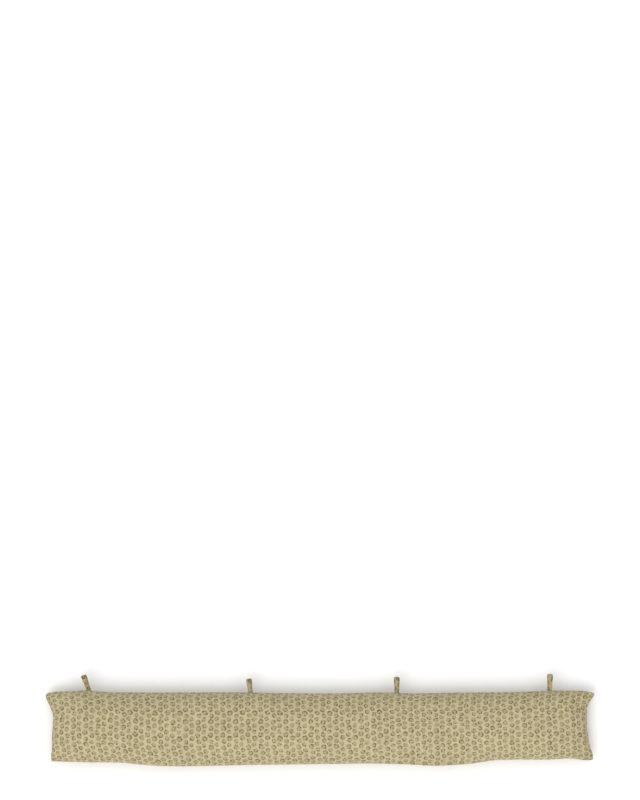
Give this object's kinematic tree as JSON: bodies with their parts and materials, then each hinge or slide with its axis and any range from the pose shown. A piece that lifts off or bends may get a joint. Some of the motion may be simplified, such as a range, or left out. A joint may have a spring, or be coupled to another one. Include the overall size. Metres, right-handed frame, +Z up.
{
  "type": "draught excluder",
  "caption": "Long, low filled draught excluder cushion with flat ears at its corners and short strap loops along its top seam for hanging it up.",
  "frame": {"origin": "on the surface that the cushion lies on, under the middle of the whole object's box, loops included", "axes": "+X runs along the cushion, +Y runs across it from the plain long seam to the seam with the loops, +Z points up out of its face"},
  "size_m": [0.9, 0.152, 0.06],
  "materials": {
    "cover_cloth": "plain-weave cotton with a small printed animal spot, matt",
    "strap_cloth": "the same printed cotton, folded and edge-stitched, matt"
  },
  "bodies": {
    "root": {"cushion": "cover_cloth", "loop_1": "strap_cloth", "loop_2": "strap_cloth", "loop_3": "strap_cloth", "loop_4": "strap_cloth"}
  },
  "joints": []
}
